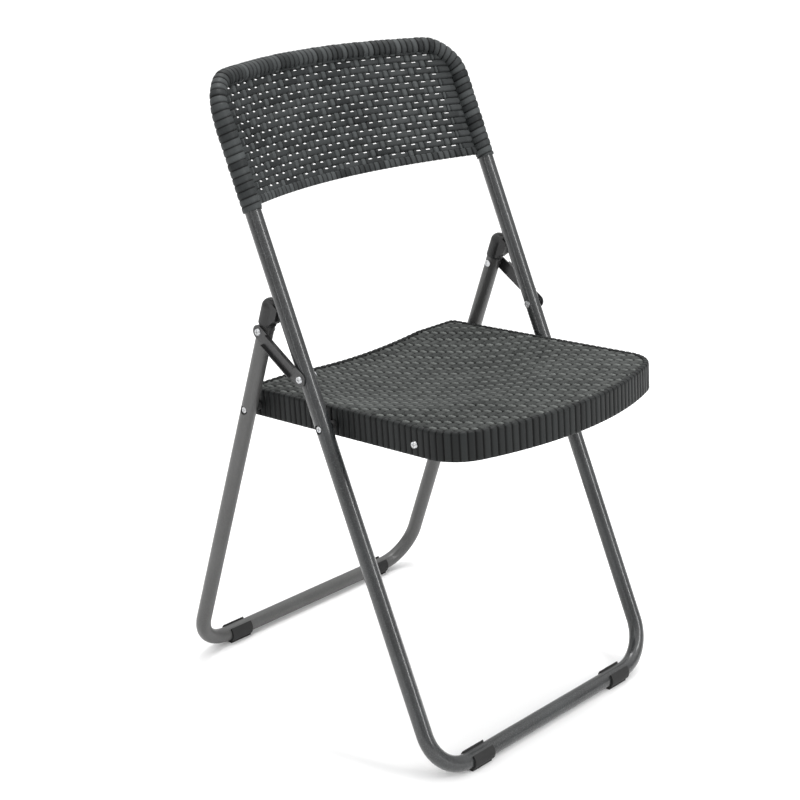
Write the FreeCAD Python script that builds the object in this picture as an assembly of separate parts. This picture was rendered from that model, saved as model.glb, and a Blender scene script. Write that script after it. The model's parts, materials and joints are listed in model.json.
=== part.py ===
import FreeCAD, Part
import math
import os

# Folding chair with two bent tube frames, a moulded seat and a moulded backrest.
# Millimetres. +Z is up, the chair faces -Y, and the origin is on the floor, in the
# middle of the footprint. The chair is modelled open, as it stands in use.
# A four-bar linkage folds it: the front frame, the seat, the rear legs and two side links.

# ---- Driving dimensions ----------------------------------------------------------------

# Tube that both frames are bent from
tube_diameter = 22.0
tube_wall = 1.2
frame_half_width = 223.0        # middle plane to the axis of each side tube
bend_radius = 58.0              # axis of the two bends in each frame
front_lean = 25.65              # degrees that the front tubes lean back
rear_lean = 18.15               # degrees that the rear legs lean forward
crossing_rise = 177.3           # seat pivot up to where the two frames' axes would cross

# Heights of the pivots above the floor
seat_pivot_height = 445.0       # seat on the front tubes
seat_fall = 13.2                # how much lower the seat sits on the rear legs
link_rise = 61.6                # seat pivot up to the side links on the front tubes
folded_tube_gap = 6.0           # bare space between the tubes once the chair is folded

# Feet clipped on the floor bars
foot_wall = 3.0
foot_length = 38.0
foot_pad_width = 16.0
foot_mouth_angle = 80.0         # degrees left open at the top of the clip

# Seat
seat_side_gap = 7.0             # side tube to the skirt
seat_front_reach = 256.0        # seat pivot to the front edge
seat_behind_leg_pivot = 23.0    # rear pivot to the rear edge
seat_skirt_below = 15.0         # pivot line down to the lower edge of the skirt
seat_skirt_above = 23.5         # pivot line up to the top edge
seat_wall = 4.0
seat_front_bow_radius = 450.0
seat_front_corner = 60.0
seat_rear_corner = 10.0
seat_edge_round = 3.5
dish_depth = 16.0               # hollow of the seating surface
dish_side_margin = 18.0         # side of the seat to the rim of the hollow
dish_centre = 30.0              # deepest point of the hollow, behind the seat pivot

# Steel bar inside each side of the skirt
rail_thickness = 3.0
rail_height = 30.0
rail_drop = 12.5                # pivot line down to the lower edge of the bar
rail_front_gap = 10.0           # front end of the bar to where the skirt's corner begins
rail_end_gap = 0.5              # rear end of the bar to the skirt's rounded corner
rail_screw_inset = 15.0         # front end of the bar to the fixing screw

# Backrest, measured along the front tubes from the floor bar's axis
sleeve_rise = 292.0             # seat pivot up to the sleeves' lower ends
sleeve_wall = 2.5
sleeve_below_panel = 2.0
backrest_lower_rise = 20.0      # how far the lower edge arches up in the middle
backrest_height = 178.0         # lower edge to upper edge at the sides
backrest_top_rise = 28.0
backrest_corner = 54.0
backrest_bow = 48.0             # how far the middle of the panel lies behind the tubes
panel_thickness = 5.0
border_thickness = 21.0
border_width = 22.0
lower_band_width = 12.0
lower_band_thickness = 8.0
tube_end_below_corner = 4.0     # start of the rounded corner down to the tube's end
backrest_screw_steps = (34.0, 118.0)   # above the sleeve's lower end

# Black caps on top of the rear legs
cap_wall = 1.2
cap_above_pivot = 10.8
leg_end_above_pivot = 36.0
saddle_width = 19.0
saddle_overhang = 9.5           # leg tube to the saddle's lip
saddle_foot = 14.0              # pivot to where the saddle starts to widen
saddle_lip = 29.0               # pivot to the lip
saddle_top = 44.0

# Side links, pressed from strip
link_width = 19.0
link_thickness = 1.5
link_flange_height = 4.0
link_flange_margin = 15.0       # flat length left round each pivot
link_washer_thickness = 1.5
link_washer_radius = 6.5

# Fasteners
pin_radius = 3.0
head_radius = 5.0
head_height = 1.8
recess_width = 1.1
recess_length = 6.0
recess_depth = 0.9
dimple_radius = 6.2
dimple_depth = 3.8
spacer_radius = 6.0
sleeve_nut_radius = 4.9
sleeve_nut_flange = 1.3
lock_nut_width = 10.0
lock_nut_height = 4.5
tapping_screw_radius = 1.9
tapping_head_radius = 3.8
tapping_screw_length = 11.0

# Clearances
running_clearance = 0.05        # radial, pins in their bores
side_clearance = 0.3            # between flat faces that slide past each other
link_side_clearance = 0.1
sleeve_clearance = 0.1          # radial, plastic sleeves and clips on the tubes
saddle_clearance = 0.3          # saddle to the front tube, open
folded_clearance = 0.8          # saddle to the front tube, folded
slot_clearance = 0.4            # round the rear pin along its whole path

# ---- Derived values ---------------------------------------------------------------------

tube_radius = tube_diameter / 2
inner_radius = tube_radius - tube_wall
foot_radius = tube_radius + foot_wall
bar_height = foot_radius
leg_pivot_height = seat_pivot_height - seat_fall
link_front_height = seat_pivot_height + link_rise
fold_gap = tube_diameter + folded_tube_gap
saddle_reach = tube_radius + saddle_overhang
dimple_floor = tube_radius - dimple_depth
seat_half_width = frame_half_width - tube_radius - seat_side_gap
sleeve_radius = tube_radius + sleeve_wall
cap_radius = tube_radius + cap_wall
bore_radius = pin_radius + running_clearance
link_inner_face = tube_radius + link_washer_thickness + link_side_clearance
link_outer_face = link_inner_face + link_thickness
rail_inner_face = seat_half_width - seat_wall - rail_thickness
foot_offset = frame_half_width - bend_radius - foot_length / 2
leg_turn = front_lean + rear_lean
lean_spread = math.tan(math.radians(front_lean)) + math.tan(math.radians(rear_lean))
bar_spacing = (seat_pivot_height + crossing_rise - bar_height) * lean_spread

# The floor bars stand so that the origin is midway between the chair's two ends
seat_pivot_back = (seat_pivot_height - bar_height) * math.tan(math.radians(front_lean))
leg_pivot_back = bar_spacing - (leg_pivot_height - bar_height) * math.tan(math.radians(rear_lean))
pivot_drop = math.atan2(seat_pivot_height - leg_pivot_height, leg_pivot_back - seat_pivot_back)
pivot_distance = math.hypot(seat_pivot_height - leg_pivot_height, leg_pivot_back - seat_pivot_back)
seat_rear_reach = pivot_distance + seat_behind_leg_pivot
rail_rear_reach = seat_rear_reach - seat_rear_corner - rail_end_gap
dish_half_width = seat_half_width - dish_side_margin
dish_radius = (dish_half_width ** 2 + dish_depth ** 2) / (2 * dish_depth)

# The front corner rounds the angle between the straight side and the bowed front edge
seat_side_length = (
    math.sqrt(seat_front_bow_radius ** 2 - seat_half_width ** 2) - seat_front_bow_radius + seat_front_reach)
seat_corner_turn = math.acos(seat_half_width / seat_front_bow_radius)
seat_corner_length = seat_front_corner * math.tan(seat_corner_turn / 2)
rail_front_reach = seat_side_length - seat_corner_length - rail_front_gap
rail_screw_reach = rail_front_reach - rail_screw_inset

sleeve_bottom = sleeve_rise + (seat_pivot_height - bar_height) / math.cos(math.radians(front_lean))
backrest_lower_side = sleeve_bottom + sleeve_below_panel
backrest_top_side = backrest_lower_side + backrest_height
tube_end_below_top = backrest_corner + tube_end_below_corner
seat_reach = seat_front_reach * math.cos(pivot_drop) + seat_skirt_below * math.sin(pivot_drop)
front_overhang = max(seat_reach - seat_pivot_back, foot_radius)
front_bar_y = (front_overhang - bar_spacing - foot_radius) / 2
rear_bar_y = front_bar_y + bar_spacing

X_AXIS = FreeCAD.Vector(1, 0, 0)
Y_AXIS = FreeCAD.Vector(0, 1, 0)
Z_AXIS = FreeCAD.Vector(0, 0, 1)
ORIGIN = FreeCAD.Vector(0, 0, 0)
REACH = 2000.0                  # longer than the chair, for cutting bodies
SOLVER_STEPS = 60
PATH_STEPS = 40
TOLERANCE = 0.5                 # for telling edges apart
HEXAGON_SIDES = 6


def front_axis(height):
    """Point (y, z) on the front tubes' axes at a height above the floor."""
    return (front_bar_y + (height - bar_height) * math.tan(math.radians(front_lean)), height)


def rear_axis(height):
    """Point (y, z) on the rear legs' axes at a height above the floor."""
    return (rear_bar_y - (height - bar_height) * math.tan(math.radians(rear_lean)), height)


def distance(start, end):
    """Distance between two (y, z) points."""
    return math.hypot(end[0] - start[0], end[1] - start[1])


def direction(start, end):
    """Angle in degrees of the line from start to end, from +Y towards +Z."""
    return math.degrees(math.atan2(end[1] - start[1], end[0] - start[0]))


def turned(point, centre, angle):
    """A (y, z) point turned about a centre, in degrees from +Y towards +Z."""
    cosine = math.cos(math.radians(angle))
    sine = math.sin(math.radians(angle))
    dy = point[0] - centre[0]
    dz = point[1] - centre[1]
    return (centre[0] + dy * cosine - dz * sine, centre[1] + dy * sine + dz * cosine)


seat_pivot = front_axis(seat_pivot_height)
leg_pivot = rear_axis(leg_pivot_height)
link_front = front_axis(link_front_height)


def folded_reach(length):
    """Length along the tubes of a bar whose far end lies fold_gap behind them."""
    return math.sqrt(length ** 2 - fold_gap ** 2)


def closing_error(height):
    """How far the folded linkage is from closing with the link's rear pivot at a height."""
    link_rear = rear_axis(height)
    tube_part = distance(seat_pivot, link_front)
    seat_part = folded_reach(distance(seat_pivot, leg_pivot))
    link_part = folded_reach(distance(link_front, link_rear))
    return tube_part + seat_part - link_part - distance(leg_pivot, link_rear)


def solve_link_rear_height():
    """Height of the link's rear pivot that lets both frames fold parallel."""
    low = link_front_height
    high = link_front_height + bar_spacing / 4
    for _ in range(SOLVER_STEPS):
        middle = (low + high) / 2
        if closing_error(middle) > 0:
            low = middle
        else:
            high = middle
    return (low + high) / 2


link_rear = rear_axis(solve_link_rear_height())
link_length = distance(link_front, link_rear)
seat_slope = -direction(seat_pivot, leg_pivot)
link_slope = direction(link_front, link_rear)


def folded_turn(length, open_angle):
    """Degrees that a bar of the linkage turns, front end up, from open to folded."""
    folded_angle = 90 - front_lean - 180 + math.degrees(math.asin(fold_gap / length))
    return open_angle - folded_angle


seat_turn = folded_turn(distance(seat_pivot, leg_pivot), -seat_slope)
link_turn = folded_turn(link_length, link_slope)


def along_front(height):
    """Distance along a front tube from the floor bar's axis."""
    return (height - bar_height) / math.cos(math.radians(front_lean))


def along_rear(height):
    """Distance along a rear leg from the floor bar's axis."""
    return (height - bar_height) / math.cos(math.radians(rear_lean))


FRONT_PLACE = FreeCAD.Placement(
    FreeCAD.Vector(0, front_bar_y, bar_height), FreeCAD.Rotation(X_AXIS, -front_lean))
REAR_PLACE = FreeCAD.Placement(
    FreeCAD.Vector(0, rear_bar_y, bar_height), FreeCAD.Rotation(X_AXIS, rear_lean))
SEAT_PLACE = FreeCAD.Placement(
    FreeCAD.Vector(0, seat_pivot[0], seat_pivot[1]), FreeCAD.Rotation(X_AXIS, -seat_slope))
LINK_PLACE = FreeCAD.Placement(
    FreeCAD.Vector(0, link_front[0], link_front[1]), FreeCAD.Rotation(X_AXIS, link_slope))


def moved_copy(shape, placement):
    """A copy of a shape with a placement applied in front of its own."""
    copy = shape.copy()
    copy.Placement = placement.multiply(copy.Placement)
    return copy


def on_side(shape, side):
    """The shape as built for the +X side, or its mirror image for the -X side."""
    return shape if side > 0 else shape.mirror(ORIGIN, X_AXIS)


def x_cylinder(radius, start, end, y, z):
    """Cylinder along X from start to end, centred on (y, z)."""
    return Part.makeCylinder(radius, end - start, FreeCAD.Vector(start, y, z), X_AXIS)


def box(x_range, y_range, z_range):
    """Box between three pairs of limits."""
    corner = FreeCAD.Vector(x_range[0], y_range[0], z_range[0])
    return Part.makeBox(
        x_range[1] - x_range[0], y_range[1] - y_range[0], z_range[1] - z_range[0], corner)


def fused(shapes):
    """One solid from touching shapes, with its inner seams removed."""
    return shapes[0].multiFuse(shapes[1:]).removeSplitter()


# ---- Bent tube frames -------------------------------------------------------------------

def bent_rod(radius, top):
    """Solid U-shaped rod: two legs up to a distance, two bends and the floor bar.

    Args:
        radius: radius of the rod.
        top: distance from the bar's axis to the ends of the legs.

    Returns:
        The rod in the frame's own plane, legs along +Z and bar along X.
    """
    straight = frame_half_width - bend_radius
    pieces = [x_cylinder(radius, -straight, straight, 0, 0)]
    for side in (-1, 1):
        foot = FreeCAD.Vector(side * frame_half_width, 0, bend_radius)
        pieces.append(Part.makeCylinder(radius, top - bend_radius, foot, Z_AXIS))
        centre = FreeCAD.Vector(side * straight, 0, bend_radius)
        circle = Part.makeCircle(radius, FreeCAD.Vector(side * straight, 0, 0), X_AXIS)
        pieces.append(Part.Face(Part.Wire(circle)).revolve(centre, Y_AXIS, -side * 90))
    return fused(pieces)


def tube_frame(top, dimple_distances, hole_distances):
    """Hollow U-shaped frame with pressed dimples and screw holes in both legs.

    Args:
        top: distance from the bar's axis to the open ends.
        dimple_distances: where a screw head lies in a pressed dimple.
        hole_distances: where a plain hole goes through.

    Returns:
        The hollow frame in its own plane.
    """
    outer = bent_rod(tube_radius, top)
    hollow = bent_rod(inner_radius, top + tube_wall)
    cuts = []
    for side in (-1, 1):
        for distance_up in dimple_distances:
            cup = x_cylinder(
                dimple_radius + tube_wall, frame_half_width + dimple_floor - tube_wall,
                frame_half_width + tube_radius, 0, distance_up)
            hollow = hollow.cut(on_side(cup, side))
            dimple = x_cylinder(
                dimple_radius, frame_half_width + dimple_floor,
                frame_half_width + tube_diameter, 0, distance_up)
            cuts.append(on_side(dimple, side))
        for distance_up in dimple_distances + hole_distances:
            hole = x_cylinder(
                bore_radius, frame_half_width - tube_diameter,
                frame_half_width + tube_diameter, 0, distance_up)
            cuts.append(on_side(hole, side))
    return outer.cut(hollow).cut(Part.makeCompound(cuts))


def backrest_screw_bodies(extra):
    """The four tapping screws behind the backrest sleeves.

    Args:
        extra: added to the shank's radius, for cutting their holes.

    Returns:
        A list of solids in the front frame's plane.
    """
    screws = []
    for side in (-1, 1):
        for step in backrest_screw_steps:
            base = FreeCAD.Vector(side * frame_half_width, sleeve_radius, sleeve_bottom + step)
            shank = Part.makeCylinder(
                tapping_screw_radius + extra, tapping_screw_length, base, -Y_AXIS)
            screws.append(shank)
    return screws


def tapping_heads():
    """Low domed heads for the backrest screws, flush on the back of the sleeves."""
    heads = []
    for side in (-1, 1):
        for step in backrest_screw_steps:
            base = FreeCAD.Vector(side * frame_half_width, sleeve_radius, sleeve_bottom + step)
            heads.append(Part.makeCone(tapping_head_radius, tapping_screw_radius, head_height, base, Y_AXIS))
    return heads


def screw_seats():
    """Flat-bottomed recesses that give the backrest screws' heads a level face."""
    seats = []
    for side in (-1, 1):
        for step in backrest_screw_steps:
            base = FreeCAD.Vector(side * frame_half_width, sleeve_radius, sleeve_bottom + step)
            seats.append(Part.makeCylinder(
                tapping_head_radius + side_clearance, border_thickness, base, Y_AXIS))
    return seats


def make_front_frame():
    """Front frame: floor bar, two long side tubes, holes for pivots and backrest screws."""
    top = backrest_top_side - tube_end_below_top
    frame = tube_frame(top, [along_front(seat_pivot_height)], [along_front(link_front_height)])
    frame = frame.cut(Part.makeCompound(backrest_screw_bodies(running_clearance)))
    return moved_copy(frame, FRONT_PLACE)


def make_rear_frame():
    """Rear frame: floor bar and two legs, with holes for the seat and link pivots."""
    link_distance = along_rear(link_rear[1])
    top = link_distance + leg_end_above_pivot
    frame = tube_frame(top, [along_rear(leg_pivot_height)], [link_distance])
    return moved_copy(frame, REAR_PLACE)


# ---- Feet and caps ----------------------------------------------------------------------

def make_foot(side, y):
    """C-shaped clip on a floor bar, with a flat pad that stands on the floor.

    Args:
        side: -1 or 1, which half of the bar.
        y: where the bar's axis lies.

    Returns:
        The clip in the chair's frame.
    """
    start = foot_offset - foot_length / 2
    end = foot_offset + foot_length / 2
    shell = x_cylinder(foot_radius, start, end, y, bar_height)
    half_pad = foot_pad_width / 2
    pad = box((start, end), (y - half_pad, y + half_pad), (0, bar_height - inner_radius / 2))
    bore = x_cylinder(tube_radius + sleeve_clearance, start, end, y, bar_height)
    half_mouth = foot_radius * math.tan(math.radians(foot_mouth_angle / 2))
    corners = [
        FreeCAD.Vector(start, y, bar_height),
        FreeCAD.Vector(start, y - half_mouth, bar_height + foot_radius),
        FreeCAD.Vector(start, y + half_mouth, bar_height + foot_radius),
        FreeCAD.Vector(start, y, bar_height)]
    mouth = Part.Face(Part.makePolygon(corners)).extrude(X_AXIS * foot_length)
    return on_side(shell.fuse(pad).cut(bore).cut(mouth), side)


def make_cap(side):
    """Plastic cap on a rear leg, with a saddle that leans on the back of the front tube."""
    pivot = along_rear(link_rear[1])
    leg_end = pivot + leg_end_above_pivot
    bottom = pivot + cap_above_pivot
    axis_foot = FreeCAD.Vector(frame_half_width, 0, bottom)
    sleeve = Part.makeCylinder(cap_radius, leg_end - bottom, axis_foot)
    dome = Part.makeSphere(cap_radius, FreeCAD.Vector(frame_half_width, 0, leg_end))
    outline = [
        (0, saddle_foot), (-tube_radius, saddle_foot), (-saddle_reach, saddle_lip),
        (-saddle_reach, saddle_top), (-tube_radius, leg_end_above_pivot + tube_radius),
        (0, leg_end_above_pivot + tube_radius), (0, saddle_foot)]
    start = frame_half_width - saddle_width / 2
    points = [FreeCAD.Vector(start, y, pivot + z) for y, z in outline]
    saddle = Part.Face(Part.makePolygon(points)).extrude(X_AXIS * saddle_width)
    bore = Part.makeCylinder(tube_radius + running_clearance, leg_end - bottom, axis_foot)
    folded_tube = Part.makeCylinder(
        tube_radius + folded_clearance, REACH, FreeCAD.Vector(frame_half_width, -fold_gap, 0), Z_AXIS)
    cap = fused([sleeve, dome, saddle]).cut(bore).cut(folded_tube)
    front_tube = Part.makeCylinder(
        tube_radius + saddle_clearance, REACH, FreeCAD.Vector(frame_half_width, 0, 0), Z_AXIS)
    cap = moved_copy(cap, REAR_PLACE).cut(moved_copy(front_tube, FRONT_PLACE))
    return on_side(cap, side)


# ---- Seat -------------------------------------------------------------------------------

def seat_outline(inset):
    """Closed outline of the seat seen from above, in the seat's own frame.

    Args:
        inset: distance that the outline lies inside the outer edge.

    Returns:
        A face at the height of the skirt's lower edge. The front edge is an arc about a
        point on the middle plane, and all four corners are rounded.
    """
    half = seat_half_width - inset
    radius = seat_front_bow_radius - inset
    centre_y = seat_front_bow_radius - seat_front_reach
    side_y = centre_y - math.sqrt(radius ** 2 - half ** 2)
    rear_y = seat_rear_reach - inset
    z = -seat_skirt_below
    front = Part.Arc(
        FreeCAD.Vector(-half, side_y, z), FreeCAD.Vector(0, centre_y - radius, z),
        FreeCAD.Vector(half, side_y, z)).toShape()
    right = Part.LineSegment(FreeCAD.Vector(half, side_y, z), FreeCAD.Vector(half, rear_y, z)).toShape()
    rear = Part.LineSegment(FreeCAD.Vector(half, rear_y, z), FreeCAD.Vector(-half, rear_y, z)).toShape()
    left = Part.LineSegment(FreeCAD.Vector(-half, rear_y, z), FreeCAD.Vector(-half, side_y, z)).toShape()
    return Part.Face(Part.Wire([front, right, rear, left]))


def seat_block(inset, top):
    """Block under the seat's outline, with its four upright corners rounded."""
    block = seat_outline(inset).extrude(Z_AXIS * (seat_skirt_below + top))
    front_edges = []
    rear_edges = []
    for edge in block.Edges:
        start, end = (vertex.Point for vertex in (edge.Vertexes[0], edge.Vertexes[-1]))
        if abs(start.x - end.x) + abs(start.y - end.y) > TOLERANCE:
            continue
        (front_edges if start.y < 0 else rear_edges).append(edge)
    block = block.makeFillet(seat_front_corner - inset, front_edges)
    rear_edges = [
        edge for edge in block.Edges
        if edge.BoundBox.ZLength > seat_skirt_below and edge.BoundBox.XLength < TOLERANCE
        and edge.BoundBox.YLength < TOLERANCE and edge.BoundBox.YMin > seat_rear_reach - inset - TOLERANCE]
    return block.makeFillet(seat_rear_corner - inset, rear_edges)


def leg_pin_path():
    """Places of the rear leg's pin in the seat's frame as the chair folds."""
    path = []
    for step in range(PATH_STEPS + 1):
        share = step / PATH_STEPS
        link_end = turned(link_rear, link_front, -link_turn * share)
        pin = turned(leg_pivot, link_rear, -leg_turn * share)
        pin = (pin[0] + link_end[0] - link_rear[0], pin[1] + link_end[1] - link_rear[1])
        pin = turned(pin, seat_pivot, seat_turn * share)
        pin = turned(pin, seat_pivot, seat_slope)
        path.append((pin[0] - seat_pivot[0], pin[1] - seat_pivot[1]))
    return path


def leg_pin_slot():
    """Slot through a side of the seat that gives the rear leg's pin room over its path."""
    path = leg_pin_path()
    margin = pin_radius + slot_clearance
    y_range = (min(y for y, _ in path) - margin, max(y for y, _ in path) + margin)
    z_range = (min(z for _, z in path) - margin, max(z for _, z in path) + margin)
    slot = box((rail_inner_face - seat_wall, seat_half_width + seat_wall), y_range, z_range)
    upright = [edge for edge in slot.Edges if edge.BoundBox.XLength > seat_wall]
    return slot.makeFillet(pin_radius, upright)


def side_openings(side):
    """Pin bore, pin slot and screw hole through one side of the seat."""
    start = rail_inner_face - seat_wall
    end = seat_half_width + seat_wall
    cuts = [
        x_cylinder(bore_radius, start, end, 0, 0),
        x_cylinder(bore_radius, start, end, -rail_screw_reach, 0),
        leg_pin_slot()]
    return [on_side(cut, side) for cut in cuts]


def make_seat_panel():
    """Moulded seat: dished top with a skirt all round, open underneath."""
    outer = seat_block(0, seat_skirt_above)
    top_edges = [
        edge for edge in outer.Edges
        if edge.BoundBox.ZMin > seat_skirt_above - running_clearance]
    outer = outer.makeFillet(seat_edge_round, top_edges)
    inner = seat_block(seat_wall, seat_skirt_above - seat_wall)
    centre = FreeCAD.Vector(0, dish_centre, seat_skirt_above - dish_depth + dish_radius)
    hollow = inner.cut(Part.makeSphere(dish_radius + seat_wall, centre))
    panel = outer.cut(Part.makeSphere(dish_radius, centre)).cut(hollow)
    cuts = side_openings(-1) + side_openings(1)
    return moved_copy(panel.cut(Part.makeCompound(cuts)), SEAT_PLACE)


def make_seat_rail(side):
    """Flat steel bar inside one side of the skirt, which carries the pivots."""
    rail = box(
        (rail_inner_face, rail_inner_face + rail_thickness),
        (-rail_front_reach, rail_rear_reach), (-rail_drop, rail_height - rail_drop))
    rail = on_side(rail, side).cut(Part.makeCompound(side_openings(side)))
    return moved_copy(rail, SEAT_PLACE)


# ---- Backrest ---------------------------------------------------------------------------

def plan_band(thickness):
    """Upright band that follows the backrest's bow, as tall as the backrest.

    Args:
        thickness: thickness of the band, half of it on each side of the bow.

    Returns:
        A solid in the front frame's plane. In plan it is a ring sector about a point in
        front of the chair, whose middle line passes through both tube axes.
    """
    radius = (frame_half_width ** 2 + backrest_bow ** 2) / (2 * backrest_bow)
    centre = FreeCAD.Vector(0, backrest_bow - radius, sleeve_bottom)
    height = backrest_top_side + backrest_top_rise - sleeve_bottom + border_width
    outer = Part.makeCylinder(radius + thickness / 2, height, centre)
    inner = Part.makeCylinder(radius - thickness / 2, height, centre)
    return outer.cut(inner)


def backrest_outline(inset):
    """Outline of the backrest seen square on, as a deep block through the bow.

    Args:
        inset: distance that the outline lies inside the outer edge.

    Returns:
        A solid in the front frame's plane, with arched upper and lower edges and
        rounded upper corners.
    """
    half = frame_half_width + sleeve_radius - inset
    y = -REACH / 4
    lower = backrest_lower_side + inset
    upper = backrest_top_side - inset
    bottom_arc = Part.Arc(
        FreeCAD.Vector(half, y, lower), FreeCAD.Vector(0, y, lower + backrest_lower_rise),
        FreeCAD.Vector(-half, y, lower)).toShape()
    left = Part.LineSegment(FreeCAD.Vector(-half, y, lower), FreeCAD.Vector(-half, y, upper)).toShape()
    top_arc = Part.Arc(
        FreeCAD.Vector(-half, y, upper), FreeCAD.Vector(0, y, upper + backrest_top_rise),
        FreeCAD.Vector(half, y, upper)).toShape()
    right = Part.LineSegment(FreeCAD.Vector(half, y, upper), FreeCAD.Vector(half, y, lower)).toShape()
    block = Part.Face(Part.Wire([bottom_arc, left, top_arc, right])).extrude(Y_AXIS * REACH / 2)
    corners = [
        edge for edge in block.Edges
        if edge.BoundBox.YLength > REACH / 4 and edge.BoundBox.ZMin > sleeve_bottom + border_width * 2]
    return block.makeFillet(backrest_corner - inset, corners)


def front_half():
    """Block round the backrest that leaves out the far side of the bow's full ring."""
    side = frame_half_width + sleeve_radius
    return box((-side, side), (-2 * sleeve_radius, 2 * backrest_bow), (sleeve_bottom, REACH))


def make_backrest():
    """Moulded backrest: bowed panel, thick border on top and sides, sleeves on the tubes."""
    whole = backrest_outline(0)
    middle = backrest_outline(border_width)
    band_limit = box(
        (-REACH, REACH), (-REACH, REACH),
        (0, backrest_lower_side + lower_band_width + backrest_lower_rise))
    rim = whole.cut(middle)
    border = plan_band(border_thickness).common(rim.cut(band_limit))
    lower_band = plan_band(lower_band_thickness).common(rim)
    panel = plan_band(panel_thickness).common(whole)
    tube_top = backrest_top_side - tube_end_below_top
    pieces = [panel, lower_band, border]
    cuts = []
    for side in (-1, 1):
        foot = FreeCAD.Vector(side * frame_half_width, 0, sleeve_bottom)
        pieces.append(Part.makeCylinder(sleeve_radius, tube_top - sleeve_bottom + sleeve_wall, foot))
        cuts.append(Part.makeCylinder(
            tube_radius + sleeve_clearance, tube_top - sleeve_bottom + side_clearance, foot))
    front_only = front_half()
    backrest = fused([front_only.common(piece) for piece in pieces])
    cuts = cuts + backrest_screw_bodies(running_clearance) + screw_seats()
    return moved_copy(backrest.cut(Part.makeCompound(cuts)), FRONT_PLACE)


# ---- Side links -------------------------------------------------------------------------

def make_link(side):
    """Pressed steel link with flat round ends and two raised flanges between them."""
    inner = frame_half_width + link_inner_face
    outer = frame_half_width + link_outer_face
    half = link_width / 2
    plate = fused([
        box((inner, outer), (0, link_length), (-half, half)),
        x_cylinder(half, inner, outer, 0, 0),
        x_cylinder(half, inner, outer, link_length, 0)])
    span = (link_flange_margin, link_length - link_flange_margin)
    for low in (-half, half - link_thickness):
        plate = plate.fuse(box((outer, outer + link_flange_height), span, (low, low + link_thickness)))
    for y in (0, link_length):
        plate = plate.cut(x_cylinder(bore_radius, inner - side_clearance, outer + side_clearance, y, 0))
    return on_side(moved_copy(plate.removeSplitter(), LINK_PLACE), side)


# ---- Fasteners --------------------------------------------------------------------------

def pan_screw(head_face, end, point, side):
    """Screw along X with a domed head and a cross recess.

    Args:
        head_face: x of the flat face under the head.
        end: x of the shank's far end, nearer the middle plane.
        point: (y, z) of the screw's axis.
        side: -1 or 1, which side of the chair.

    Returns:
        The screw in the chair's frame.
    """
    y, z = point
    shank = x_cylinder(pin_radius, end, head_face, y, z)
    head = Part.makeCone(
        head_radius, head_radius - head_height / 2, head_height,
        FreeCAD.Vector(head_face, y, z), X_AXIS)
    screw = shank.fuse(head).removeSplitter()
    top = head_face + head_height
    long_half = recess_length / 2
    thin_half = recess_width / 2
    depth = (top - recess_depth, top)
    for reach_y, reach_z in ((long_half, thin_half), (thin_half, long_half)):
        screw = screw.cut(box(depth, (y - reach_y, y + reach_y), (z - reach_z, z + reach_z)))
    return on_side(screw, side)


def ring(outer_radius, start, end, point, side):
    """Washer or spacer along X, free on a pin."""
    y, z = point
    body = x_cylinder(outer_radius, start, end, y, z).cut(x_cylinder(bore_radius, start, end, y, z))
    return on_side(body, side)


def sleeve_nut(point, side):
    """Flanged sleeve nut on the inner face of a tube, open at its end."""
    y, z = point
    face = frame_half_width - tube_radius
    flange = x_cylinder(sleeve_nut_radius, face - sleeve_nut_flange, face, y, z)
    return on_side(flange.cut(x_cylinder(bore_radius, face - sleeve_nut_flange, face, y, z)), side)


def lock_nut(outer_face, point, side):
    """Six-sided lock nut whose outer face lies at an x."""
    y, z = point
    corner_radius = lock_nut_width / math.sqrt(3)
    corners = []
    for step in range(HEXAGON_SIDES + 1):
        angle = math.radians(360 / HEXAGON_SIDES * step)
        corners.append(FreeCAD.Vector(
            outer_face - lock_nut_height, y + corner_radius * math.cos(angle),
            z + corner_radius * math.sin(angle)))
    body = Part.Face(Part.makePolygon(corners)).extrude(X_AXIS * lock_nut_height)
    return on_side(body.cut(x_cylinder(bore_radius, 0, outer_face, y, z)), side)


def seat_point(y, z):
    """A point of the seat's own frame as (y, z) in the chair's frame."""
    moved = SEAT_PLACE.multVec(FreeCAD.Vector(0, y, z))
    return (moved.y, moved.z)


def add_seat_pivot_fasteners(nodes, side, name):
    """Screw, spacer and lock nut of both pivots that carry one side of the seat."""
    head_face = frame_half_width + dimple_floor
    nut_face = rail_inner_face - side_clearance
    spacer_end = seat_half_width + side_clearance
    shank_end = nut_face - lock_nut_height - tube_wall
    for pivot, point in (("seat_pivot", seat_pivot), ("leg_pivot", leg_pivot)):
        nodes[f"{pivot}_screw_{name}"] = pan_screw(head_face, shank_end, point, side)
        nodes[f"{pivot}_spacer_{name}"] = ring(
            spacer_radius, spacer_end, frame_half_width - tube_radius, point, side)
        nodes[f"{pivot}_nut_{name}"] = lock_nut(nut_face, point, side)


def add_link_fasteners(nodes, side, name):
    """Screw, washer and sleeve nut at both ends of one side link."""
    head_face = frame_half_width + link_outer_face + link_side_clearance
    washer_end = frame_half_width + tube_radius + link_washer_thickness
    shank_end = frame_half_width - tube_radius - sleeve_nut_flange / 2
    for pivot, point in (("link_front", link_front), ("link_rear", link_rear)):
        nodes[f"{pivot}_screw_{name}"] = pan_screw(head_face, shank_end, point, side)
        nodes[f"{pivot}_washer_{name}"] = ring(
            link_washer_radius, frame_half_width + tube_radius, washer_end, point, side)
        nodes[f"{pivot}_nut_{name}"] = sleeve_nut(point, side)


def add_rail_fasteners(nodes, side, name):
    """Screw and nut that hold the front of a seat rail to the skirt."""
    point = seat_point(-rail_screw_reach, 0)
    shank_end = rail_inner_face - lock_nut_height - tube_wall
    nodes[f"rail_screw_{name}"] = pan_screw(seat_half_width, shank_end, point, side)
    nodes[f"rail_nut_{name}"] = lock_nut(rail_inner_face, point, side)


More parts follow.
